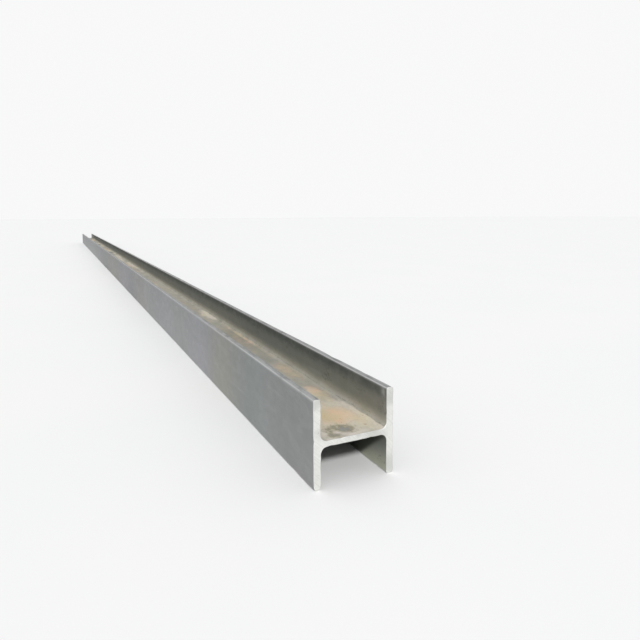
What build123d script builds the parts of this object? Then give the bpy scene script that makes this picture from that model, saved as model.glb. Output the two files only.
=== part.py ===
"""One length of hot-rolled steel H section, cut square from mill stock.

The beam is rolled and sawn in one piece. It lies on the toes of its flanges, the way such
beams are stacked, so the flanges stand upright and the web is level between them.

Frame: +X across the section, from one flange to the other, +Y along the beam, +Z up.
The origin is on the floor, midway along the beam and midway between the flanges.
"""

import os

from build123d import *

# The rolled section
section_depth = 100.0
flange_width = 100.0
flange_thickness = 8.0
web_thickness = 6.0
root_radius = 8.0
toe_radius = 1.5

# The length that the stock is sold in
stock_length = 6000.0

# Where the flanges and the web lie in the section
flange_centre = (section_depth - flange_thickness) / 2
web_height = flange_width / 2
web_span = section_depth - flange_thickness

# The section is drawn at mid-length and drawn out both ways to the sawn ends
with BuildPart() as h_beam:
    with BuildSketch(Plane.XZ) as section:
        # Two parallel flanges, standing on the floor
        with Locations((-flange_centre, web_height), (flange_centre, web_height)):
            Rectangle(flange_thickness, flange_width)

        # The web runs from the middle of one flange to the middle of the other
        with Locations((0, web_height)):
            Rectangle(web_span, web_thickness)

        # The rolls leave a full radius in each root, under the web and above it
        roots = section.vertices().group_by(Axis.Y)[1:-1]
        fillet([corner for level in roots for corner in level], radius=root_radius)

        # They round the toes too, which are the lowest and the highest corners
        levels = section.vertices().group_by(Axis.Y)
        fillet(levels[0] + levels[-1], radius=toe_radius)

    extrude(amount=stock_length / 2, both=True)

h_beam.part.label = "h_beam"

os.makedirs("parts", exist_ok=True)
export_step(h_beam.part, "parts/h_beam.step")
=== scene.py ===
"""The looks of one length of hot-rolled steel H section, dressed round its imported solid.

The rolled skin and both sawn ends are one closed surface: the section's outline, carried along the
beam and drawn in to a cap at each end. X runs across the section, Y along the beam and Z up.
"""

import bmesh
import bpy
import numpy as np
from mathutils import Matrix, Vector


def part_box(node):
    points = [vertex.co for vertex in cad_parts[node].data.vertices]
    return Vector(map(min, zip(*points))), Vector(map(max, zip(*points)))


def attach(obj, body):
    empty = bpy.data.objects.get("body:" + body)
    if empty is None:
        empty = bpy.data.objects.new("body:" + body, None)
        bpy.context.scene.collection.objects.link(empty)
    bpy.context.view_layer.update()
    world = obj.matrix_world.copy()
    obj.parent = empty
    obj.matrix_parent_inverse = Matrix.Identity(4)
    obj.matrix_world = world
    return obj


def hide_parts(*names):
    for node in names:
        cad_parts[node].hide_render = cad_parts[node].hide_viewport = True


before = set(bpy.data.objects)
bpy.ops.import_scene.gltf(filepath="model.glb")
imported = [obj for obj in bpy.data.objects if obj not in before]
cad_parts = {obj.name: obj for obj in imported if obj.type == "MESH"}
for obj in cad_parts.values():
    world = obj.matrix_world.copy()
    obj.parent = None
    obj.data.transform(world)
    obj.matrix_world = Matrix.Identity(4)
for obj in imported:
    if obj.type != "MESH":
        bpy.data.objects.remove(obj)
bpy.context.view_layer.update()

# The beam's size comes from the frame, and the walls and rounds of its section are its standard ones
LOW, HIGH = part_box("h_beam")
HALF_DEPTH = (HIGH.x - LOW.x) / 2
HALF_LENGTH = (HIGH.y - LOW.y) / 2
WIDTH = HIGH.z - LOW.z
FLANGE = 0.008
WEB = 0.006
ROOT = 0.008
TOE = 0.0015

WEB_TOP = (WIDTH + WEB) / 2
WEB_UNDERSIDE = (WIDTH - WEB) / 2
INNER_FACE = HALF_DEPTH - FLANGE

# The two sawn ends: which way each one faces along the beam, and the seed of its chance
ENDS = ((-1, 1), (1, 2))

MILLIMETRE = 0.001

# An uneven line runs through so many random values before they come round again
CHANCES = 4096


def fade(value, start, end):
    """0 at start and 1 at end, on the smooth curve 3t^2 - 2t^3 of the way between them."""
    t = np.clip((value - start) / (end - start), 0, 1)
    return t * t * (3 - 2 * t)


def hump(distance, reach):
    """A bell, 1 where the distance is nothing and e^-1 where it is the reach."""
    return np.exp(-((distance / reach) ** 2))


def uneven(where, spacing, seed):
    """Smooth chance from -1 to 1 along a line: random values a spacing apart, joined by fade curves."""
    chance = np.random.default_rng(seed).uniform(-1, 1, CHANCES)
    place = (where / spacing) % (CHANCES - 1)
    before = place.astype(int)
    share = fade(place - before, 0, 1)
    return chance[before] * (1 - share) + chance[before + 1] * share


# The section's outline

PITCH = 2.0 * MILLIMETRE
ROOT_STEPS = 6
TOE_STEPS = 4


def run_and_round(corner, coming, going, radius, run, steps):
    """One straight run and the round at its end, as points and outward normals.

    The run is divided evenly and stops one radius short of the corner. The round is the quarter
    circle centre + radius * (sin a * coming - cos a * going), for a from 0 to 90 degrees. A normal
    is the way of going at its point, turned a quarter turn to the right."""
    pieces = max(1, round(run / PITCH))
    back = run * (1 - np.arange(pieces) / pieces)[:, None]
    start = corner - radius * coming
    straight = start - back * coming
    turned = np.linspace(0, np.pi / 2, steps, endpoint=False)[:, None]
    centre = start + radius * going
    arc = centre + radius * (np.sin(turned) * coming - np.cos(turned) * going)
    direction = np.vstack(
        [np.repeat(coming[None], pieces, 0), np.cos(turned) * coming + np.sin(turned) * going]
    )
    return np.vstack([straight, arc]), direction[:, ::-1] * (1, -1)


def h_outline():
    """The H, anticlockwise as seen from the near end: twelve corners, each with its round. A run is
    what the rounds at both its ends leave of the way from one corner to the next."""
    toe, root = (TOE, TOE_STEPS), (ROOT, ROOT_STEPS)
    corners = [
        (-HALF_DEPTH, 0, toe),
        (-INNER_FACE, 0, toe),
        (-INNER_FACE, WEB_UNDERSIDE, root),
        (INNER_FACE, WEB_UNDERSIDE, root),
        (INNER_FACE, 0, toe),
        (HALF_DEPTH, 0, toe),
        (HALF_DEPTH, WIDTH, toe),
        (INNER_FACE, WIDTH, toe),
        (INNER_FACE, WEB_TOP, root),
        (-INNER_FACE, WEB_TOP, root),
        (-INNER_FACE, WIDTH, toe),
        (-HALF_DEPTH, WIDTH, toe),
    ]
    places = np.array([corner[:2] for corner in corners])
    rounds = [corner[2] for corner in corners]
    points, normals = [], []
    for this, (radius, steps) in enumerate(rounds):
        before, after = places[this - 1], places[(this + 1) % len(corners)]
        coming = np.sign(places[this] - before)
        going = np.sign(after - places[this])
        whole = np.abs(places[this] - before).sum()
        run = whole - radius - rounds[this - 1][0]
        spots, outward = run_and_round(places[this], coming, going, radius, run, steps)
        points.append(spots)
        normals.append(outward)
    return np.vstack(points), np.vstack(normals)


def girth_of(outline):
    """Length round the outline up to each point, and once more for the whole way round."""
    steps = np.linalg.norm(np.roll(outline, -1, 0) - outline, axis=1)
    return np.concatenate([[0], np.cumsum(steps)])


# Stations along the beam

EDGE_BREAK = 0.3 * MILLIMETRE
FIRST_STEP = 0.5 * MILLIMETRE
STEP_GROWTH = 1.065
WIDEST_STEP = 42.0 * MILLIMETRE
# More steps than half of the beam can take
STEP_LIMIT = 600


def stations():
    """Distances along the beam, close together at the sawn ends: each step is the last one times
    its growth until it is the widest, and the same again backwards from the other end. Each half
    is then stretched a little, so that the two meet in one more step."""
    steps = np.minimum(FIRST_STEP * STEP_GROWTH ** np.arange(STEP_LIMIT), WIDEST_STEP)
    half = HALF_LENGTH - EDGE_BREAK
    from_end = np.cumsum(steps)
    from_end = np.concatenate([[0], from_end[from_end < half]])
    from_end *= half / (from_end[-1] + steps[len(from_end) - 1] / 2)
    return np.concatenate([from_end - half, half - from_end[::-1]])


# Relief that the rolls, the handling and the saw leave

ROLL_WAVES = (
    # height, wavelength, start, slant
    (0.16 * MILLIMETRE, 1.31, 0.4, 3.0),
    (0.11 * MILLIMETRE, 0.57, 2.1, -5.0),
    (0.06 * MILLIMETRE, 0.233, 4.4, 9.0),
)
TOE_DENTS = (
    # x, on the upper toes or not, distance from the near end, length, reach round it, depth
    (-0.050, 1, 0.034, 0.004, 0.004, 0.5 * MILLIMETRE),
    (-0.046, 1, 0.097, 0.009, 0.005, 0.6 * MILLIMETRE),
    (-0.042, 1, 0.181, 0.007, 0.004, 0.5 * MILLIMETRE),
    (0.046, 1, 0.062, 0.006, 0.005, 0.5 * MILLIMETRE),
    (0.050, 1, 0.148, 0.012, 0.004, 0.7 * MILLIMETRE),
    (0.042, 0, 0.021, 0.004, 0.004, 0.5 * MILLIMETRE),
    (-0.050, 0, 0.052, 0.008, 0.004, 0.5 * MILLIMETRE),
    (-0.046, 1, 5.93, 0.007, 0.005, 0.6 * MILLIMETRE),
    (0.050, 1, 5.87, 0.010, 0.004, 0.6 * MILLIMETRE),
    # The corners that are worn round at the near end
    (-0.050, 0, 0.0, 0.006, 0.0028, 1.2 * MILLIMETRE),
    (-0.042, 0, 0.0, 0.006, 0.0028, 1.2 * MILLIMETRE),
    (0.050, 1, 0.0, 0.004, 0.0020, 0.4 * MILLIMETRE),
)


def roll_waves(along, girth):
    """The long shallow waves that the rolls leave: a sum of sines of the place along the beam, each
    slanted a little by the place round the section."""
    height = np.zeros((len(along), len(girth)))
    for tall, wave, start, slant in ROLL_WAVES:
        height += tall * np.sin(2 * np.pi * along[:, None] / wave + start + slant * girth)
    return height


def toe_dents(along, outline):
    """Knocks along the toes: a bell along the beam times a bell round a point of the outline,
    pressed inwards."""
    depth = np.zeros((len(along), len(outline)))
    for x, upper, place, length, reach, deep in TOE_DENTS:
        away = np.hypot(outline[:, 0] - x, outline[:, 1] - upper * WIDTH)
        depth += deep * hump(along[:, None] - place, length) * hump(away, reach)
    return -depth


# The lip that the saw draws out of its edge. It stands out sideways by a share of its height
LIP = 0.75 * MILLIMETRE
LIP_LIFT = 0.25
LIP_LINES = (
    # height, spacing
    (0.7, 0.011),
    (0.5, 0.0037),
)
LIP_SPREAD = 0.6
LIP_REACH = 1.1 * MILLIMETRE
LIP_REACH_ON_CAP = 0.5 * LIP_REACH

# The nicks in that edge. Each also sets the edge back along the beam by a share of its depth
NICKS = (
    # place round the section as a share, width, depth
    (0.018, 0.0016, 0.5 * MILLIMETRE),
    (0.105, 0.0022, 0.6 * MILLIMETRE),
    (0.236, 0.0018, 0.5 * MILLIMETRE),
    (0.352, 0.0030, 0.5 * MILLIMETRE),
    (0.447, 0.0020, 0.7 * MILLIMETRE),
    (0.531, 0.0016, 0.4 * MILLIMETRE),
    (0.655, 0.0024, 0.6 * MILLIMETRE),
    (0.742, 0.0020, 0.5 * MILLIMETRE),
    (0.868, 0.0020, 0.7 * MILLIMETRE),
    (0.905, 0.0015, 0.6 * MILLIMETRE),
    (0.941, 0.0028, 0.8 * MILLIMETRE),
    (0.972, 0.0018, 0.7 * MILLIMETRE),
)
NICK_TURN = 0.37
NICK_SETBACK = 0.4
NICK_REACH = 2.6 * MILLIMETRE

# The sawn face's own relief, with its heights in millimetres
SAW_WAVES = (
    # height, turn for each metre across and up, start, turn for each seed
    (0.10, 31, 0, 1.3, 1.0),
    (0.08, 0, 43, 0.0, 0.6),
)
SAW_LINE = 0.05
SAW_LINE_SPACING = 0.0045
SAW_LINE_SLANT = 0.35
SAW_LINE_SEED = 70


def lip_height(girth, seed):
    """How far the saw drew a lip out of the edge: the upper part of two uneven lines added up."""
    lines = (
        height * uneven(girth, spacing, seed + finer)
        for finer, (height, spacing) in enumerate(LIP_LINES)
    )
    return LIP * np.clip(sum(lines) + LIP_LIFT, 0, None)


def nick_depth(girth, seed):
    """Chips out of the edge: bells at chosen places round the section, turned on for each end."""
    share = (girth / girth[-1] + NICK_TURN * seed) % 1
    depth = np.zeros(len(girth))
    for place, width, deep in NICKS:
        depth += deep * hump((share - place) * girth[-1], width)
    return depth


def saw_relief(across, up, seed):
    """How far the sawn face stands from its plane: one slow sine each way and a fine uneven line,
    counted from a metre off so that no place on it is negative."""
    slow = sum(
        height * np.sin(aside * across + upwards * up + start + turn * seed)
        for height, aside, upwards, start, turn in SAW_WAVES
    )
    line = up + SAW_LINE_SLANT * across + 1
    fine = SAW_LINE * uneven(line, SAW_LINE_SPACING, SAW_LINE_SEED + seed)
    return MILLIMETRE * (slow + fine)


# How far in from the edge each ring of a sawn end lies, all of them within the toes' rounds
CAP_INSETS = np.array([0.20, 0.40, 0.63, 0.87]) * TOE


def sawn_cap(outline, normals, girth, end, seed):
    """One sawn end, as rings of points: the outline drawn in by each inset in turn, standing out
    by the saw's relief. The lip dies away from the edge, and so do the nicks and dents, in a
    straight line that reaches nothing where the toes' rounds have their centres."""
    inset = CAP_INSETS[:, None]
    dying = 1 - inset / TOE
    dent = toe_dents(np.array([HALF_LENGTH * (1 + end)]), outline)
    lip = lip_height(girth, seed) * np.exp(-inset / LIP_REACH_ON_CAP)
    nick = nick_depth(girth, seed) * dying
    drawn_in = inset + nick - dent * dying
    ring = outline - drawn_in[..., None] * normals
    out = saw_relief(ring[..., 0], ring[..., 1], seed) + lip - NICK_SETBACK * nick
    return np.stack([ring[..., 0], end * (HALF_LENGTH + out), ring[..., 1]], -1)


def skin_points(outline, normals, girth, along):
    """Every point of the rolled skin: the outline moved along its own normals by the waves, dents,
    lips and nicks, at each station, and no lower than the floor. A lip also draws the edge out
    past the sawn plane, and a nick sets it back."""
    from_near = along + HALF_LENGTH
    relief = roll_waves(from_near, girth) + toe_dents(from_near, outline)
    drawn = np.zeros_like(relief)
    for end, seed in ENDS:
        from_end = (HALF_LENGTH - end * along)[:, None]
        dying = np.exp(-from_end / LIP_REACH)
        lip = lip_height(girth, seed) * dying
        nick = nick_depth(girth, seed) * np.exp(-from_end / NICK_REACH)
        relief += LIP_SPREAD * lip - nick
        drawn += end * (lip - NICK_SETBACK * nick) * dying
    moved = outline + relief[..., None] * normals
    up = np.maximum(moved[..., 1], 0)
    return np.stack([moved[..., 0], along[:, None] + drawn, up], -1)


# Faces between the rings of points


def band_faces(first, second, count):
    """Quads between two rings of points that start at these numbers, facing outwards where the
    second ring lies further along the beam."""
    here = np.arange(count)
    after = (here + 1) % count
    return np.stack([first + here, second + here, second + after, first + after], -1)


def beam_faces(rows, count):
    """Quads of the skin, quads of the sawn ends and the many-sided middle of each end.

    The points are numbered ring by ring: the skin's rows first, then each end's rings inwards from
    the skin's own ring there. The near end faces backwards, so its rings are taken the other way."""
    starts = count * np.arange(rows - 1)[:, None]
    skin = band_faces(starts, starts + count, count).reshape(-1, 4)
    sawn, middles = [], []
    start = rows * count
    for edge, facing in ((0, -1), ((rows - 1) * count, 1)):
        rings = [edge, *(start + ring * count for ring in range(len(CAP_INSETS)))]
        for outer, inner in zip(rings[:-1], rings[1:]):
            first, second = (outer, inner)[::facing]
            sawn.append(band_faces(first, second, count))
        middle = rings[-1] + np.arange(count)
        middles.append(middle[::-facing])
        start += len(CAP_INSETS) * count
    return skin, np.concatenate(sawn), middles


def cut_up(mesh):
    """Cuts every many-sided face of a mesh into triangles."""
    shaped = bmesh.new()
    shaped.from_mesh(mesh)
    many_sided = [face for face in shaped.faces if len(face.verts) > 4]
    bmesh.ops.triangulate(shaped, faces=many_sided)
    shaped.to_mesh(mesh)
    shaped.free()


# The sheet that a baked picture of the finishes is laid out on: rows of the skin, opened out

SHEET_ROWS = (
    # from, to, share of the sheet's height
    (0.0, 0.8, 0.36),
    (0.8, 2.6, 0.18),
    (2.6, 4.4, 0.18),
    (4.4, 6.0, 0.17),
)
SHEET_GAP = 0.006
CAP_SHARE = 0.085
# Room round a sawn end for its lip
CAP_MARGIN = MILLIMETRE


def skin_sheet(along, girth):
    """Corners of the skin's quads on the sheet, and the height that they fill. Each row is a stretch
    of the beam, with the length across the sheet and the girth up it, scaled to fill the row."""
    from_near = along + HALF_LENGTH
    starts, ends = from_near[:-1], from_near[1:]
    middle = (starts + ends) / 2
    across = np.zeros((len(middle), 2))
    foot, tall = np.zeros((2, len(middle)))
    bottom = SHEET_GAP
    for low, high, share in SHEET_ROWS:
        row = (middle >= low) & (middle < high)
        first, last = starts[row].min(), ends[row].max()
        scale = (1 - 2 * SHEET_GAP) / (last - first)
        across[row] = SHEET_GAP + (np.stack([starts[row], ends[row]], -1) - first) * scale
        foot[row] = bottom
        tall[row] = share
        bottom += share + SHEET_GAP
    up = girth / girth[-1]
    low_v = foot[:, None] + tall[:, None] * up[:-1]
    high_v = foot[:, None] + tall[:, None] * up[1:]
    near_u, far_u = (np.broadcast_to(side[:, None], low_v.shape) for side in across.T)
    corners = [(near_u, low_v), (far_u, low_v), (far_u, high_v), (near_u, high_v)]
    return np.stack([np.stack(corner, -1) for corner in corners], 2).reshape(-1, 2), bottom


def cap_sheet(points, bottom):
    """The place of a sawn end's points on the sheet: a small square, seen from straight ahead, with
    the far end's to the right of the near end's."""
    size = CAP_SHARE / (WIDTH + 2 * CAP_MARGIN)
    left = np.where(points[..., 1] > 0, 2 * SHEET_GAP + CAP_SHARE, SHEET_GAP)
    u = left + (points[..., 0] + HALF_DEPTH + CAP_MARGIN) * size
    v = bottom + (points[..., 2] + CAP_MARGIN) * size
    return np.stack([u, v], -1)


# Marks painted on the skin, each as a number from 0 to 1 at every point

WEB_PATCHES = {
    # x, distance from the near end, reach across, reach along, strength
    "pale": (
        (0.010, 0.050, 0.060, 0.075, 1.00),
        (0.034, 0.030, 0.020, 0.060, 1.00),
        (-0.004, 0.150, 0.034, 0.080, 0.80),
    ),
    "tan": (
        (0.004, 0.060, 0.030, 0.034, 1.00),
        (-0.014, 0.098, 0.026, 0.038, 0.92),
        (0.024, 0.150, 0.018, 0.050, 0.62),
        (0.030, 0.262, 0.020, 0.070, 0.58),
        (-0.014, 0.330, 0.024, 0.110, 0.62),
    ),
    "smudge_and_shadow": (
        (-0.0025, 0.0200, 0.0142, 0.0155, 0.95),
        (-0.0100, 0.0300, 0.0080, 0.0080, 0.80),
        (-0.0195, 0.0105, 0.0110, 0.0095, 0.82),
        (-0.0200, 0.0240, 0.0085, 0.0100, 0.72),
        # These two are a painted shadow near the left flange, not smudges
        (-0.0340, 0.0180, 0.0060, 0.0140, 0.40),
        (-0.0270, 0.0740, 0.0120, 0.0300, 0.50),
    ),
    "chalk": (
        (-0.0128, 0.0142, 0.0050, 0.0028, 0.85),
        (-0.0070, 0.0090, 0.0060, 0.0028, 0.80),
        (-0.0010, 0.0045, 0.0090, 0.0035, 0.75),
        (-0.0300, 0.0030, 0.0060, 0.0028, 0.70),
        (0.0140, 0.0060, 0.0100, 0.0040, 0.45),
        (-0.0320, 0.0150, 0.0055, 0.0120, 0.40),
    ),
    "cream": (
        (0.0290, 0.0390, 0.0120, 0.0190, 0.50),
        (0.0220, 0.0520, 0.0130, 0.0220, 0.55),
    ),
    "rust": (
        (0.0263, 0.0215, 0.0026, 0.0036, 0.80),
        (-0.0310, 0.0470, 0.0030, 0.0100, 0.70),
        (0.0120, 0.1180, 0.0050, 0.0160, 0.50),
    ),
}
# Patches that chance spreads along the rest of the web: their seed, least and greatest strength
STRAYS = {"pale": (12, 0.5, 0.9), "tan": (11, 0.3, 0.8)}
STRAY_COUNT = 40
STRAY_LIMITS = (
    # of x, of the distance from the near end, and of the reach across and along
    (-0.038, 0.038),
    (0.40, 2 * HALF_LENGTH),
    (0.012, 0.030),
    (0.08, 0.34),
)
SCUFFS = (
    # x of the face, z, distance from the near end, reach up, reach along, strength
    (INNER_FACE, 0.0935, 0.007, 0.0068, 0.0052, 1.0),
    (INNER_FACE, 0.0790, 0.004, 0.0070, 0.0022, 0.4),
    (INNER_FACE, 0.0700, 0.190, 0.0022, 0.0300, 0.5),
    (-HALF_DEPTH, 0.0350, 0.265, 0.0012, 0.0420, 0.5),
    (-HALF_DEPTH, 0.0760, 0.118, 0.0010, 0.0260, 0.4),
    (HALF_DEPTH, 0.0520, 0.150, 0.0014, 0.0500, 0.7),
    (HALF_DEPTH, 0.0310, 0.330, 0.0012, 0.0450, 0.6),
)
DULL_SPOTS = (
    # x and z on a sawn end, reach, strength
    (-0.0460, 0.0960, 0.0080, 0.9),
    (-0.0440, 0.0640, 0.0070, 0.3),
    (-0.0455, 0.0230, 0.0060, 0.3),
    (0.0220, 0.0500, 0.0160, 0.8),
    (0.0050, 0.0525, 0.0040, 1.0),
    (-0.0120, 0.0490, 0.0080, 0.3),
    (0.0460, 0.0140, 0.0130, 0.9),
    (0.0460, 0.0900, 0.0110, 0.8),
)
# Casts of the outer faces and their lighter and darker stretches, from end to end of the beam
STRETCHES = {
    # distance of the middle from the near end, reach along, strength
    "olive": ((0.355, 0.075, 1.0), (1.30, 0.16, 0.5), (2.35, 0.30, 0.6)),
    "lilac": ((0.505, 0.085, 1.0), (0.90, 0.10, 0.5), (1.75, 0.22, 0.7)),
    "green": ((0.200, 0.070, 1.0), (0.720, 0.110, 0.4), (1.06, 0.12, 0.5)),
    "light": (
        (0.165, 0.065, 0.15),
        (0.72, 0.30, 0.42),
        (1.20, 0.20, 0.16),
        (4.10, 0.75, 0.40),
        (5.30, 0.50, 0.25),
    ),
    "dark": ((1.62, 0.18, 0.30), (2.70, 0.42, 0.22)),
}
# Painted shade: the outer faces darken this much from the lower toes to the upper ones
TOP_PAINTED_SHADE = 0.32

# Where a mark begins and where it is whole: |x| first, then heights, then distances from an end
BETWEEN_FLANGES = (HALF_DEPTH - 0.3 * FLANGE, INNER_FACE - 0.2 * MILLIMETRE)
ABOVE_WEB = (WEB_TOP - 0.5 * MILLIMETRE, WEB_TOP)
SILT_LINE = (WEB_TOP + 0.44 * ROOT, WEB_TOP + 0.12 * ROOT)
DUST_LINE = (WEB_TOP + 2.4 * ROOT, WEB_TOP + 0.6 * ROOT)
HIGH_UP = (0.78 * WIDTH, 0.96 * WIDTH)
LOW_DOWN = (0.34 * WIDTH, 0.04 * WIDTH)
UNDER_WEB = (WIDTH / 2, WEB_UNDERSIDE)
SAWN_PLANE = (1.5 * MILLIMETRE, 0.8 * MILLIMETRE)
# The same for the toes, up or down from the middle of the section
TOE_LEVELS = (WIDTH / 2 - 1.2 * TOE, WIDTH / 2 - 0.4 * TOE)

# How far a mark reaches from its line
RIM_REACH = 0.9 * TOE
GRIME_REACH = 1.2 * ROOT
EDGE_REACH = 2.2 * MILLIMETRE
SCUFF_REACH = 0.6 * MILLIMETRE

# Painted shade under the web, dark past the slanted line of the web's shadow from a sawn end: the
# line lies this far in for each step down from the web, and the shade fades in from two of these
# lengths before that line to one after it
SHADOW_SLANT = 1.33
SHADOW_FADE = 0.004


def ellipses(x, from_near, patches):
    """The strongest of the patches at each point: a bell over an ellipse on the web."""
    strength = np.zeros(x.shape)
    for centre, place, wide, long, most in patches:
        away = np.hypot((x - centre) / wide, (from_near - place) / long)
        strength = np.maximum(strength, most * hump(away, 1.0))
    return strength


def stray_patches(seed, least, most):
    """Patches along the rest of the web: each of their numbers is drawn evenly from its limits."""
    chance = np.random.default_rng(seed)
    limits = (*STRAY_LIMITS, (least, most))
    return np.stack([chance.uniform(low, high, STRAY_COUNT) for low, high in limits], -1)


def rubs(x, from_near, z):
    """The strongest of the scuffs at each point: a bell over an ellipse on its own face."""
    strength = np.zeros(x.shape)
    for face, height, place, tall, long, most in SCUFFS:
        away = np.hypot((z - height) / tall, (from_near - place) / long)
        strength = np.maximum(strength, most * hump(away, 1.0) * hump(x - face, SCUFF_REACH))
    return strength


def dull_spots(x, z):
    """The strongest of the dull places at each point of a sawn end: a bell round each."""
    strength = np.zeros(x.shape)
    for across, up, reach, most in DULL_SPOTS:
        strength = np.maximum(strength, most * hump(np.hypot(x - across, z - up), reach))
    return strength


def bands(from_near, chosen):
    """A sum of bells along the beam, held to 1."""
    return np.clip(sum(most * hump(from_near - at, reach) for at, reach, most in chosen), 0, 1)


def marks_on(points):
    """The painted marks at these points, by name: each a product of fades across the section and
    of bells round its lines, its patches or its stretches of the beam."""
    x, y, z = points[..., 0], points[..., 1], points[..., 2]
    from_near = y + HALF_LENGTH
    from_end = HALF_LENGTH - np.abs(y)
    level = np.abs(z - WIDTH / 2)
    to_root = np.hypot(INNER_FACE - np.abs(x), level - WEB / 2)
    to_rim = np.hypot(FLANGE / 2 - np.abs(np.abs(x) - HALF_DEPTH + FLANGE / 2), WIDTH / 2 - level)

    inside = fade(np.abs(x), *BETWEEN_FLANGES)
    outside = 1 - inside
    above = inside * fade(z, *ABOVE_WEB)
    on_web = above * fade(z, *SILT_LINE)
    # Painted shade under the web begins past the slanted line of the web's shadow from each sawn end
    past_shadow_line = from_end - SHADOW_SLANT * (WEB_UNDERSIDE - z)
    in_painted_shade = fade(past_shadow_line, -2 * SHADOW_FADE, SHADOW_FADE)

    marks = {
        "toe": fade(level, *TOE_LEVELS),
        # rim: partly wear and partly a painted highlight along the toes' edges
        "rim": hump(to_rim, RIM_REACH),
        "inside": inside,
        # high: painted shade, darker high up on the faces between the flanges
        "high": inside * fade(z, *HIGH_UP),
        # below: painted light, lighter towards the floor under the web
        "below": inside * fade(z, *LOW_DOWN),
        # deep: painted shade under the web, past the line of its shadow
        "deep": inside * fade(z, *UNDER_WEB) * in_painted_shade,
        "root": inside * hump(to_root, GRIME_REACH),
        "edge": np.exp(-from_end / EDGE_REACH),
        "web": on_web,
        "dusted": above * fade(z, *DUST_LINE),
        "scuff": rubs(x, from_near, z),
        "dull": fade(from_end, *SAWN_PLANE) * dull_spots(x, z),
    }
    for name, patches in WEB_PATCHES.items():
        strays = stray_patches(*STRAYS[name]) if name in STRAYS else ()
        marks[name] = on_web * ellipses(x, from_near, [*patches, *strays])
    for name, chosen in STRETCHES.items():
        marks[name] = bands(from_near, chosen) * outside
    # Painted shade on the outer faces, darker towards the upper toes
    marks["dark"] = np.maximum(marks["dark"], TOP_PAINTED_SHADE * fade(z, 0, WIDTH) * outside)
    return marks


# Mixing of the finishes

# Where a colour mix takes its share and its two colours, and where it gives its result
MIX_TAKES = (0, 6, 7)
MIX_GIVES = 2


def chip(red, green, blue):
    """A colour read off a chip, 0 to 255 each, as the light it sends back, by the sRGB standard's
    curve: straight at its foot, and a power of 2.4 above it."""
    seen = np.array([red, green, blue]) / 255
    sent = np.where(seen <= 0.04045, seen / 12.92, ((seen + 0.055) / 1.055) ** 2.4)
    return (*sent.tolist(), 1)


class Recipe:
    """A finish being mixed, with its colour and its relief so far. The methods that work something
    out add a step and return what carries its result."""

    def __init__(self, name, colour):
        """Begins a finish of this name with one colour and no relief."""
        self.material = bpy.data.materials.new(name)
        self.material.use_nodes = True
        self.tree = self.material.node_tree
        self.shader = self.tree.nodes["Principled BSDF"]
        self.place = self.step("ShaderNodeTexCoord").outputs["Object"]
        self.colour = colour
        self.relief = None

    def step(self, kind, **settings):
        """A new step of one of Blender's kinds, with its settings."""
        made = self.tree.nodes.new(kind)
        for name, value in settings.items():
            setattr(made, name, value)
        return made

    def give(self, socket, value):
        """Sets a number or colour, or joins a result on."""
        if isinstance(value, bpy.types.NodeSocket):
            self.tree.links.new(value, socket)
        else:
            socket.default_value = value

    def reckon(self, operation, first, second):
        """One of Blender's operations on two numbers."""
        made = self.step("ShaderNodeMath", operation=operation)
        self.give(made.inputs[0], first)
        self.give(made.inputs[1], second)
        return made.outputs[0]

    def plus(self, first, second):
        """Two numbers added."""
        return self.reckon("ADD", first, second)

    def minus(self, first, second):
        """The second number taken from the first."""
        return self.reckon("SUBTRACT", first, second)

    def times(self, first, second):
        """Two numbers multiplied."""
        return self.reckon("MULTIPLY", first, second)

    def larger(self, first, second):
        """The larger of two numbers."""
        return self.reckon("MAXIMUM", first, second)

    def between(self, value, low, high, start=0.0, end=1.0):
        """The value carried from low..high to start..end, held within them, on a smooth curve."""
        made = self.step("ShaderNodeMapRange", interpolation_type="SMOOTHSTEP")
        for socket, number in zip(made.inputs, (value, low, high, start, end)):
            self.give(socket, number)
        return made.outputs[0]

    def stretched(self, scale, shift=(0, 0, 0)):
        """The place on the beam, stretched each way and shifted."""
        made = self.step("ShaderNodeMapping")
        self.give(made.inputs["Vector"], self.place)
        made.inputs["Scale"].default_value = scale
        made.inputs["Location"].default_value = shift
        return made.outputs[0]

    def cloud(self, scale, detail=3.0, roughness=0.5, shift=(0, 0, 0)):
        """Uneven clouds. A scale of three numbers counts the lumps in a metre each way."""
        made = self.step("ShaderNodeTexNoise")
        self.give(made.inputs["Vector"], self.stretched(scale, shift))
        made.inputs["Scale"].default_value = 1.0
        made.inputs["Detail"].default_value = detail
        made.inputs["Roughness"].default_value = roughness
        return made.outputs["Fac"]

    def mark(self, name):
        """A painted mark, as marks_on gives it."""
        return self.step("ShaderNodeAttribute", attribute_name=name).outputs["Fac"]

    def broken(self, name, cloud, low, high, least, most=1.0):
        """A painted mark, broken up by a cloud: whole where the cloud is thick, less where it is
        thin."""
        return self.times(self.mark(name), self.between(cloud, low, high, least, most))

    def blend(self, share, first, second):
        """The first colour with a share of the second laid over it."""
        made = self.step("ShaderNodeMix", data_type="RGBA")
        for socket, value in zip(MIX_TAKES, (share, first, second)):
            self.give(made.inputs[socket], value)
        return made.outputs[MIX_GIVES]

    def lay(self, colour, share):
        """Lays a share of a colour over the colour so far."""
        self.colour = self.blend(share, self.colour, colour)

    def emboss(self, height, depth):
        """Lays relief of a height from 0 to 1, this deep, over the relief so far."""
        made = self.step("ShaderNodeBump")
        made.inputs["Distance"].default_value = depth
        self.give(made.inputs["Height"], height)
        if self.relief is not None:
            self.give(made.inputs["Normal"], self.relief)
        self.relief = made.outputs[0]

    def finish(self, given):
        """Gives the shader its colour, its relief if there is any, and what else is given by the
        names of its sockets. Returns the finish."""
        self.give(self.shader.inputs["Base Color"], self.colour)
        if self.relief is not None:
            self.give(self.shader.inputs["Normal"], self.relief)
        for name, value in given.items():
            self.give(self.shader.inputs[name], value)
        return self.material


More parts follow.
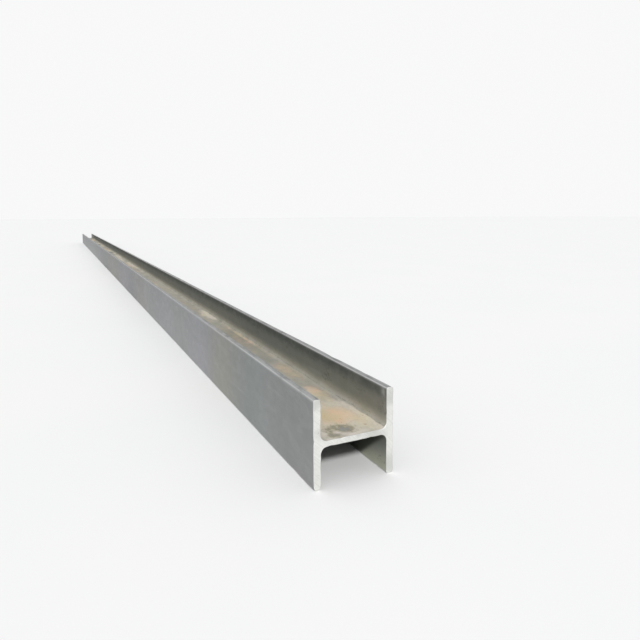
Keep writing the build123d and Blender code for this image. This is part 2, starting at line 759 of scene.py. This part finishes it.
SKIN_GREY = chip(154, 154, 154)
SKIN_GREEN = chip(141, 150, 147)
SKIN_OLIVE = chip(163, 162, 151)
SKIN_LILAC = chip(166, 165, 172)
SKIN_DARK = chip(118, 120, 120)
SKIN_LIGHT = chip(182, 184, 184)
SKIN_PIT = chip(86, 87, 86)
INSIDE_OLIVE = chip(143, 146, 139)
# Painted shade high up between the flanges
INSIDE_SHADE_GREY = chip(97, 102, 99)
# Painted light low down under the web
UNDER_WEB_LIGHT = chip(186, 188, 172)
# Painted shade under the web
UNDER_WEB_SHADE = chip(86, 89, 82)
# Rubbed toes, and a painted highlight along their rims
TOE_RUB_AND_HIGHLIGHT = chip(214, 214, 213)
FILM_PALE = chip(209, 200, 187)
FILM_YELLOW = chip(206, 201, 181)
SILT_PINK = chip(214, 185, 156)
SILT_YELLOW = chip(201, 183, 150)
SMUDGE_AND_SHADOW_GREY = chip(130, 133, 130)
SMUDGE_AND_SHADOW_OLIVE = chip(140, 134, 112)
CHALK = chip(222, 214, 208)
CREAM = chip(228, 207, 176)
RUST_BROWN = chip(150, 108, 74)
GRIME = chip(98, 97, 88)
SAWN_WHITE = chip(224, 224, 220)
SAWN_GREY = chip(198, 199, 195)
SAWN_LINE = chip(174, 175, 171)
FLOOR_WHITE = chip(236, 236, 235)
FLOOR_GREY = chip(232, 233, 234)

# How much of the clean steel's light is a metal's, and its shine at a glance
METAL_SHARE = 0.6
SHINE = 0.3
SHINE_TINT = (0.55, 0.55, 0.56, 1)


def rolled_skin():
    """Mill finish: satin grey with slow green, olive and lilac casts and lighter and darker
    stretches, painted shade towards the top of the outer faces, faint streaks the way it was
    rolled, flakes and specks of scale, painted shade high up between the flanges and under the web
    and painted light low down under it, bright rubbed toes with a painted highlight along their
    rims, and on the web dust, dried puddles, cream patches, smudges, a painted shadow near the left
    flange, chalky streaks and a little rust."""
    mix = Recipe("rolled_skin", SKIN_GREY)

    # Slow casts of the bare steel, with painted shade towards the top of the outer faces
    slow = mix.cloud((2.0, 1.7, 2.0), detail=1.0, shift=(7, 3, 1))
    other = mix.cloud((2.5, 2.3, 2.5), detail=1.0, shift=(1, 8, 5))
    green = mix.larger(mix.mark("green"), mix.between(slow, 0.52, 0.68, 0.0, 0.5))
    lilac = mix.larger(mix.mark("lilac"), mix.between(other, 0.54, 0.70, 0.0, 0.5))
    mix.lay(SKIN_GREEN, mix.times(green, 0.7))
    mix.lay(SKIN_LILAC, mix.times(lilac, 0.8))
    mix.lay(SKIN_OLIVE, mix.times(mix.mark("olive"), 0.8))
    mix.lay(SKIN_LIGHT, mix.mark("light"))
    # The darker stretches, with painted shade towards the upper toes of the outer faces
    mix.lay(SKIN_DARK, mix.mark("dark"))

    # Mottling, and streaks the way it was rolled
    mottle = mix.cloud((85, 48, 85), detail=6.0, roughness=0.62)
    streaks = mix.cloud((210, 4, 210), shift=(3, 0, 5))
    mix.lay(SKIN_DARK, mix.between(mottle, 0.42, 0.74, 0.0, 0.05))
    mix.lay(SKIN_LIGHT, mix.between(mottle, 0.48, 0.26, 0.0, 0.035))
    mix.lay(SKIN_DARK, mix.between(streaks, 0.50, 0.74, 0.0, 0.09))

    # Flakes of scale with crisp edges, and specks where it has popped off
    flakes = mix.cloud((46, 17, 46), detail=7.0, roughness=0.58, shift=(9, 4, 2))
    specks = mix.cloud((640, 420, 640), detail=2.0, shift=(5, 5, 3))
    flaked = mix.between(flakes, 0.555, 0.575)
    specked = mix.between(specks, 0.64, 0.70)
    mix.lay(SKIN_LIGHT, mix.times(flaked, 0.065))
    mix.lay(SKIN_PIT, mix.times(specked, 0.20))

    # Duller, browner steel between the flanges, painted shade high up between them and under the web,
    #     painted light low down under the web, with grime in the roots
    mix.lay(INSIDE_OLIVE, mix.broken("inside", mottle, 0.25, 0.60, 0.55, 0.95))
    # Painted shade: darker grey high up between the flanges
    mix.lay(INSIDE_SHADE_GREY, mix.broken("high", mottle, 0.25, 0.60, 0.5, 0.9))
    # Painted light: lighter towards the floor under the web
    mix.lay(UNDER_WEB_LIGHT, mix.mark("below"))
    # Painted shade: dark under the web, past the line of its shadow from each sawn end
    mix.lay(UNDER_WEB_SHADE, mix.times(mix.mark("deep"), 0.9))
    mix.lay(GRIME, mix.broken("root", mottle, 0.42, 0.66, 0.0, 0.5))

    # Dust that has settled on the web and, thinner, a little way up the flanges
    crumbs = mix.cloud((240, 190, 240), detail=6.0, roughness=0.7, shift=(1, 9, 4))
    drift = mix.cloud((46, 22, 46), detail=6.0, roughness=0.64, shift=(5, 2, 8))
    wash = mix.cloud((48, 30, 48), roughness=0.55, shift=(4, 6, 2))
    film = mix.plus(mix.mark("pale"), mix.between(drift, 0.30, 0.70, -0.12, 0.34))
    film = mix.between(film, 0.10, 0.85, 0.12, 0.92)
    film = mix.times(film, mix.between(crumbs, 0.25, 0.60, 0.80, 1.0))
    reach = mix.plus(mix.mark("web"), mix.between(drift, 0.30, 0.70, -0.24, 0.24))
    reach = mix.plus(reach, mix.between(crumbs, 0.30, 0.70, -0.16, 0.16))
    covered = mix.between(reach, 0.34, 0.60)
    dusting = mix.broken("dusted", drift, 0.25, 0.75, 0.36, 0.60)
    film = mix.larger(mix.times(film, covered), dusting)
    warm = mix.between(wash, 0.34, 0.66)
    mix.lay(mix.blend(warm, FILM_PALE, FILM_YELLOW), film)

    # The dark line that the water left round it
    tide = mix.times(mix.between(reach, 0.16, 0.34), mix.between(reach, 0.52, 0.36))
    tide = mix.times(tide, mix.between(crumbs, 0.38, 0.62, 0.0, 0.55))
    mix.lay(GRIME, mix.times(tide, mix.mark("inside")))

    # The tan silt of puddles that dried there, with a faint rusty shore
    puddle = mix.plus(mix.mark("tan"), mix.between(drift, 0.30, 0.70, -0.14, 0.18))
    puddle = mix.plus(puddle, mix.between(crumbs, 0.30, 0.70, -0.05, 0.05))
    tan = mix.times(mix.between(puddle, 0.22, 1.05, 0.0, 0.95), covered)
    mix.lay(mix.blend(warm, SILT_PINK, SILT_YELLOW), tan)
    shore = mix.times(mix.between(puddle, 0.36, 0.42), mix.between(puddle, 0.52, 0.43))
    mix.lay(RUST_BROWN, mix.times(shore, mix.times(mix.mark("web"), 0.10)))

    # Cream patches, smudges that are greyer in the middle with a painted shadow near the left flange,
    #     and chalky streaks
    ragged = mix.cloud((190, 150, 190), detail=7.0, roughness=0.72, shift=(3, 7, 1))
    mix.lay(CREAM, mix.broken("cream", ragged, 0.30, 0.60, 0.6))
    smudge_and_shadow = mix.plus(mix.mark("smudge_and_shadow"), mix.between(ragged, 0.30, 0.70, -0.20, 0.22))
    core = mix.between(smudge_and_shadow, 0.66, 0.98)
    smudge_and_shadow = mix.times(smudge_and_shadow, mix.between(ragged, 0.36, 0.56, 0.84, 1.0))
    smudge_and_shadow = mix.between(smudge_and_shadow, 0.14, 0.74, 0.0, 0.90)
    smudge_and_shadow = mix.times(smudge_and_shadow, mix.between(crumbs, 0.34, 0.58, 0.84, 1.0))
    # Smudges, and a painted shadow near the left flange
    mix.lay(mix.blend(core, SMUDGE_AND_SHADOW_OLIVE, SMUDGE_AND_SHADOW_GREY), smudge_and_shadow)
    mix.lay(CHALK, mix.broken("chalk", ragged, 0.35, 0.60, 0.35))

    # Rust, and freckles of it all over the web
    rust = mix.between(mix.broken("rust", crumbs, 0.30, 0.60, 0.4), 0.20, 0.9, 0.0, 0.65)
    freckles = mix.cloud((420, 300, 420), detail=2.0, shift=(2, 2, 2))
    freckles = mix.broken("web", freckles, 0.68, 0.76, 0.0, 0.6)
    mix.lay(RUST_BROWN, mix.larger(rust, freckles))

    # Scuffs and scratches, the rubbed toes with a painted highlight along their rims, and the bright
    #     line beside each sawn edge
    scuffs = mix.broken("scuff", crumbs, 0.35, 0.55, 0.4)
    scratches = mix.cloud((1400, 26, 1400), detail=1.0, shift=(6, 1, 2))
    mix.lay(SKIN_LIGHT, mix.larger(scuffs, mix.between(scratches, 0.70, 0.80, 0.0, 0.35)))
    wear = mix.cloud((130, 26, 130), detail=6.0, roughness=0.68, shift=(4, 4, 4))
    flat = mix.broken("toe", wear, 0.36, 0.60, 0.08, 0.50)
    # The rims are partly wear and partly a painted highlight along the toes' edges
    rim = mix.broken("rim", wear, 0.26, 0.48, 0.35, 0.95)
    rubbed_and_highlit = mix.larger(flat, rim)
    mix.lay(TOE_RUB_AND_HIGHLIGHT, rubbed_and_highlit)
    mix.lay(SAWN_GREY, mix.between(mix.mark("edge"), 0.45, 0.95, 0.0, 0.8))

    # Fine tooth, streaks, mottling, flakes and specks, and the grains of the dust
    mix.emboss(mix.cloud((1100, 700, 1100)), 0.06 * MILLIMETRE)
    mix.emboss(streaks, 0.08 * MILLIMETRE)
    mix.emboss(mottle, 0.07 * MILLIMETRE)
    mix.emboss(mix.minus(flaked, specked), 0.04 * MILLIMETRE)
    matt = mix.larger(film, tan)
    mix.emboss(mix.times(crumbs, matt), 0.6 * MILLIMETRE)

    # Satin where the steel is bare, smoother on flakes and rubbed toes, matt where it is dusty
    satin = mix.between(mottle, 0.3, 0.7, 0.42, 0.52)
    satin = mix.minus(satin, mix.times(flaked, 0.04))
    satin = mix.minus(satin, mix.times(rubbed_and_highlit, 0.12))
    return mix.finish(
        {
            "Roughness": mix.plus(satin, mix.times(matt, 0.38)),
            "Metallic": mix.times(mix.minus(1.0, matt), METAL_SHARE),
            "Specular IOR Level": SHINE,
            "Specular Tint": SHINE_TINT,
        }
    )


# The saw's blade turned round a point this far left of the beam's middle and below the floor, and
# left so many coarse and so many fine marks in a metre
BLADE_AWAY = (0.34, 0, 0.29)
SAW_PASSES = (430.0, 2300.0)


def saw_arcs(mix, away, per_metre):
    """Uneven rings round the blade's middle, so many in a metre away from it."""
    arcs = mix.step("ShaderNodeTexNoise", noise_dimensions="1D")
    mix.give(arcs.inputs["W"], mix.times(away, per_metre))
    arcs.inputs["Scale"].default_value = 1.0
    arcs.inputs["Detail"].default_value = 1.0
    return arcs.outputs["Fac"]


def sawn_steel():
    """Fresh cut steel: near white, with the coarse and fine arcs that a round blade leaves, far
    apart from its centre off to one side, and a few grey and brown flecks."""
    mix = Recipe("sawn_steel", SAWN_WHITE)
    length = mix.step("ShaderNodeVectorMath", operation="LENGTH")
    mix.give(length.inputs[0], mix.stretched((1, 0, 1), BLADE_AWAY))
    coarse, fine = (saw_arcs(mix, length.outputs["Value"], passes) for passes in SAW_PASSES)
    wander = mix.cloud((55, 55, 55), detail=5.0, roughness=0.6)
    grain = mix.cloud((900, 900, 900), shift=(2, 6, 1))
    flecks = mix.cloud((260, 260, 260), detail=2.0, shift=(3, 1, 2))
    stains = mix.cloud((85, 85, 85), detail=4.0, roughness=0.65, shift=(8, 2, 6))

    dull = mix.plus(mix.mark("dull"), mix.between(wander, 0.36, 0.72, -0.15, 0.40))
    mix.lay(SAWN_GREY, mix.between(dull, 0.0, 1.0, 0.0, 0.9))
    mix.lay(SAWN_GREY, mix.between(coarse, 0.50, 0.72, 0.0, 0.35))
    mix.lay(SAWN_LINE, mix.between(fine, 0.52, 0.70, 0.0, 0.30))
    mix.lay(SAWN_LINE, mix.between(grain, 0.56, 0.72, 0.0, 0.30))
    mix.lay(SKIN_DARK, mix.between(flecks, 0.68, 0.76, 0.0, 0.45))
    mix.lay(SILT_PINK, mix.between(stains, 0.60, 0.74, 0.0, 0.16))

    mix.emboss(coarse, 0.16 * MILLIMETRE)
    mix.emboss(fine, 0.05 * MILLIMETRE)
    mix.emboss(grain, 0.04 * MILLIMETRE)
    mix.emboss(wander, 0.3 * MILLIMETRE)
    roughness = mix.between(wander, 0.3, 0.7, 0.36, 0.52)
    return mix.finish({"Metallic": METAL_SHARE, "Roughness": roughness})


def put_in_scene(name, data):
    """A new object of this name in the scene, at the origin and unturned."""
    placed = bpy.data.objects.new(name, data)
    bpy.context.scene.collection.objects.link(placed)
    return placed


def rolled_beam():
    """The whole beam as one closed piece, with its marks, its sheet and its two finishes."""
    outline, normals = h_outline()
    girth = girth_of(outline)
    along = stations()
    rings = [skin_points(outline, normals, girth[:-1], along)]
    rings += [sawn_cap(outline, normals, girth[:-1], end, seed) for end, seed in ENDS]
    points = np.vstack([ring.reshape(-1, 3) for ring in rings])
    skin, sawn, middles = beam_faces(len(along), len(outline))
    faces = [*skin.tolist(), *sawn.tolist(), *(middle.tolist() for middle in middles)]

    mesh = bpy.data.meshes.new("rolled_beam")
    mesh.from_pydata(points.tolist(), [], faces)
    mesh.materials.append(rolled_skin())
    mesh.materials.append(sawn_steel())
    on_end = np.arange(len(faces)) >= len(skin)
    mesh.polygons.foreach_set("material_index", on_end.astype(np.int32))
    mesh.polygons.foreach_set("use_smooth", np.ones(len(faces), bool))

    for name, strength in marks_on(points).items():
        painted = mesh.attributes.new(name, "FLOAT", "POINT")
        painted.data.foreach_set("value", strength.astype(np.float32))

    skin_places, bottom = skin_sheet(along, girth)
    cap_places = cap_sheet(points[np.concatenate([sawn.ravel(), *middles])], bottom)
    layer = mesh.uv_layers.new(name="OFBake")
    layer.data.foreach_set("uv", np.vstack([skin_places, cap_places]).ravel())
    cut_up(mesh)
    return put_in_scene("rolled_beam", mesh)


# The floor, the light and the camera

FLOOR_REACH = 60.0
FLOOR_ROUGHNESS = 0.9


def pale_floor():
    """A plain flat floor, as far as the eye reaches: one square, in two whites like slow clouds."""
    mesh = bpy.data.meshes.new("floor")
    corners = [(-1, -1), (1, -1), (1, 1), (-1, 1)]
    mesh.from_pydata([(FLOOR_REACH * x, FLOOR_REACH * y, 0) for x, y in corners], [], [(0, 1, 2, 3)])
    mix = Recipe("floor_paint", FLOOR_WHITE)
    mix.lay(FLOOR_GREY, mix.between(mix.cloud((3, 3, 3), detail=2.0), 0.3, 0.7, 0.0, 0.3))
    mesh.materials.append(mix.finish({"Roughness": FLOOR_ROUGHNESS}))
    floor = put_in_scene("floor", mesh)


KEY_FROM = Vector((-0.30, -1.00, 0.76))
KEY_STRENGTH = 2.32
KEY_WIDTH = 0.13
SKY = (0.985, 0.99, 1.0, 1)
SKY_STRENGTH = 0.69
BACKDROP = (0.94, 0.942, 0.941, 1)


def studio_light():
    """A soft lamp from in front of the near end, high and a little to the left, and an even white
    surround, of which the camera sees a plain backdrop."""
    lamp = bpy.data.lights.new("soft_key", "SUN")
    lamp.energy = KEY_STRENGTH
    lamp.angle = KEY_WIDTH
    key = put_in_scene("soft_key", lamp)
    key.rotation_euler = KEY_FROM.to_track_quat("Z", "Y").to_euler()

    world = bpy.data.worlds.new("surround")
    bpy.context.scene.world = world
    world.use_nodes = True
    tree = world.node_tree
    tree.nodes.clear()
    rays = tree.nodes.new("ShaderNodeLightPath")
    light = tree.nodes.new("ShaderNodeBackground")
    light.inputs["Color"].default_value = SKY
    light.inputs["Strength"].default_value = SKY_STRENGTH
    seen = tree.nodes.new("ShaderNodeBackground")
    seen.inputs["Color"].default_value = BACKDROP
    either = tree.nodes.new("ShaderNodeMixShader")
    out = tree.nodes.new("ShaderNodeOutputWorld")
    tree.links.new(rays.outputs["Is Camera Ray"], either.inputs["Fac"])
    tree.links.new(light.outputs[0], either.inputs[1])
    tree.links.new(seen.outputs[0], either.inputs[2])
    tree.links.new(either.outputs[0], out.inputs["Surface"])


# Fitted to the photo. The rise is the lens's upward shift, as a share of the picture's width
CAMERA_PLACE = Vector((-0.2838, -3.4946, 0.2949))
CAMERA_TURN = np.radians(26.08)
CAMERA_DIP = np.radians(4.78)
CAMERA_TILT = np.radians(-0.24)
LENS = 29.95
SENSOR_WIDTH = 36
RISE = -0.094
NEAREST = 0.01
FARTHEST = 500


def photo_camera():
    """The camera, turned to the right of the beam's line, dipped and tilted a little."""
    turn, dip, tilt = CAMERA_TURN, CAMERA_DIP, CAMERA_TILT
    ahead = Vector((np.sin(turn) * np.cos(dip), np.cos(turn) * np.cos(dip), -np.sin(dip)))
    level = Vector((np.cos(turn), -np.sin(turn), 0))
    above = level.cross(ahead)
    right = np.cos(tilt) * level + np.sin(tilt) * above
    up = np.cos(tilt) * above - np.sin(tilt) * level
    lens = bpy.data.cameras.new("camera")
    lens.lens = LENS
    lens.sensor_width = SENSOR_WIDTH
    lens.shift_y = RISE
    lens.clip_start = NEAREST
    lens.clip_end = FARTHEST
    camera = put_in_scene("camera", lens)
    turned = Matrix((right, up, -ahead)).transposed().to_4x4()
    camera.matrix_world = Matrix.Translation(CAMERA_PLACE) @ turned
    bpy.context.scene.camera = camera


beam = rolled_beam()
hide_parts("h_beam")
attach(beam, "root")

pale_floor()
studio_light()
photo_camera()
bpy.context.scene.view_settings.view_transform = "Standard"
